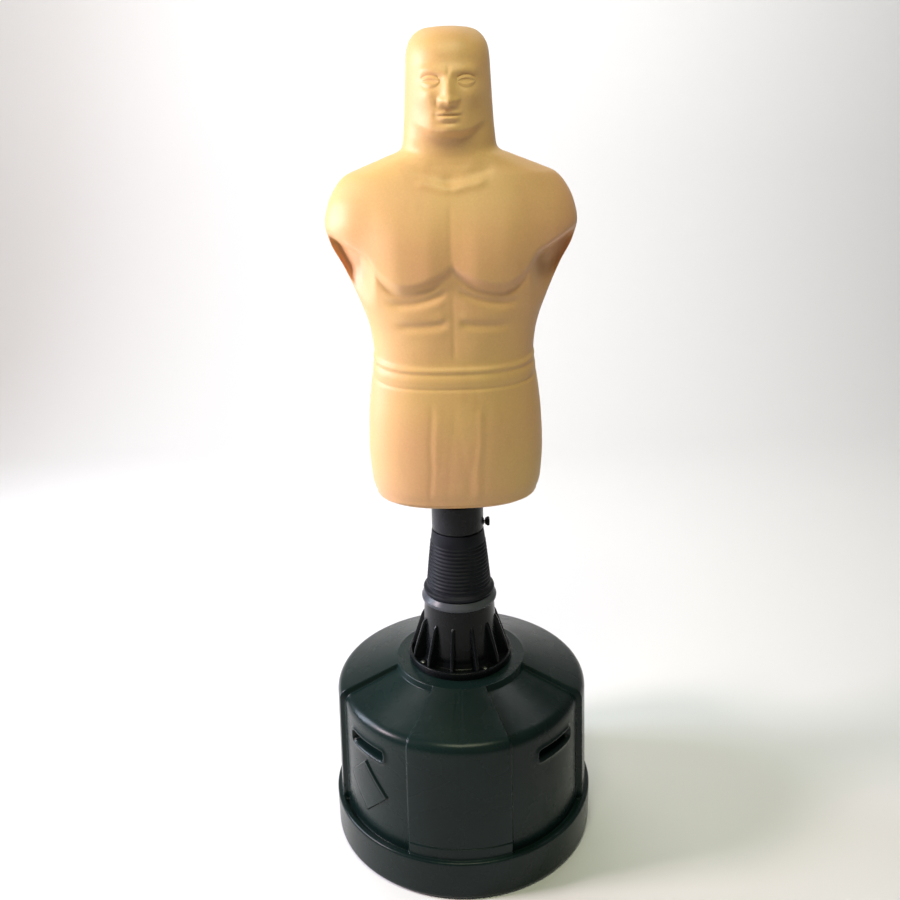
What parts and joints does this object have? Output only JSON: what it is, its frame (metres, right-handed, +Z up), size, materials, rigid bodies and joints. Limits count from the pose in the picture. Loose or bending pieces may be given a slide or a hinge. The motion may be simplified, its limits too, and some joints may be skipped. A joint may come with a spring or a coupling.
{
  "type": "body opponent mannequin",
  "caption": "Soft torso-and-head striking mannequin on a sprung, height-adjustable post above a round water-fillable base tank with hand holds.",
  "frame": {"origin": "on the floor under the middle of the round base", "axes": "+Z up; the mannequin faces -Y; +X is the mannequin's left and a viewer's right"},
  "size_m": [0.5899, 0.59, 1.72],
  "materials": {
    "tank_plastic": "satin, rotationally moulded, lightly grained",
    "water": "liquid",
    "fitting_plastic": "satin moulded",
    "collar_plastic": "satin moulded",
    "zinc_steel": "zinc plated",
    "painted_steel": "black paint",
    "post_paint": "black powder coat",
    "spring_steel": "oiled black",
    "boot_rubber": "satin moulded rubber",
    "seal_rubber": "matt",
    "skin_vinyl": "soft satin vinyl, flesh coloured",
    "foam": "open-cell foam",
    "plywood": "raw",
    "bush_nylon": "nylon",
    "lock_plastic": "moulded"
  },
  "bodies": {
    "base": {"base_shell": "tank_plastic", "ballast_fill": "water", "filler_neck": "fitting_plastic", "hub_plate": "zinc_steel", "hub_bolts": "zinc_steel", "hub_nuts": "zinc_steel", "collar": "collar_plastic", "collar_screws": "zinc_steel", "spring_foot_plate": "painted_steel", "spring_clip_lower": "zinc_steel", "clip_screw_lower": "zinc_steel"},
    "filler_seal": {"filler_cap_gasket": "seal_rubber"},
    "filler_cap": {"filler_cap": "fitting_plastic"},
    "neck": {"main_spring": "spring_steel", "boot_lower": "boot_rubber", "boot_upper": "boot_rubber"},
    "post": {"spring_head_plate": "painted_steel", "spring_clip_upper": "zinc_steel", "clip_screw_upper": "zinc_steel", "head_plate_screws": "zinc_steel", "post_foot": "painted_steel", "post_tube": "post_paint", "post_pin": "zinc_steel", "post_top_cap": "fitting_plastic"},
    "torso": {"torso_skin": "skin_vinyl", "torso_foam": "foam", "torso_board": "plywood", "torso_board_screws": "zinc_steel", "torso_sleeve": "post_paint", "lower_bush": "bush_nylon", "upper_bush": "bush_nylon", "sleeve_cap": "fitting_plastic", "lock_collar": "lock_plastic"},
    "lock_pad": {"clamp_pad": "bush_nylon"},
    "lock_knob": {"clamp_screw": "zinc_steel", "clamp_knob": "lock_plastic"}
  },
  "joints": [
    {"name": "sway_fore_aft", "type": "hinge", "parent": "base", "child": "neck", "pos_m": [0, 0, 0.6], "axis": [1, 0, 0], "range_deg": [-15, 15], "stiffness_Nm_per_rad": 1200, "deforming": ["main_spring", "boot_lower"]},
    {"name": "sway_side", "type": "hinge", "parent": "neck", "child": "post", "pos_m": [0, 0, 0.67], "axis": [0, 1, 0], "range_deg": [-15, 15], "stiffness_Nm_per_rad": 1200, "deforming": ["boot_upper"]},
    {"name": "height_slide", "type": "slide", "parent": "post", "child": "torso", "axis": [0, 0, 1], "range_m": [0, 0.2]},
    {"name": "lock_travel", "type": "slide", "parent": "torso", "child": "lock_pad", "axis": [1, 0, 0], "range_m": [0, 0.0026]},
    {"name": "lock_turn", "type": "hinge", "parent": "lock_pad", "child": "lock_knob", "pos_m": [0.06, 0, 0.748], "axis": [1, 0, 0], "range_deg": [0, 720]},
    {"name": "cap_lift", "type": "slide", "parent": "base", "child": "filler_seal", "axis": [0, 0, 1], "range_m": [0, 0.0101]},
    {"name": "cap_turn", "type": "hinge", "parent": "filler_seal", "child": "filler_cap", "pos_m": [0, 0.205, 0.43], "axis": [0, 0, 1], "range_deg": [0, 900]}
  ],
  "couplings": [
    {"joint": "lock_travel", "follows": "lock_turn", "m_per_rad": 0.00019894},
    {"joint": "cap_lift", "follows": "cap_turn", "m_per_rad": 0.00063662}
  ]
}
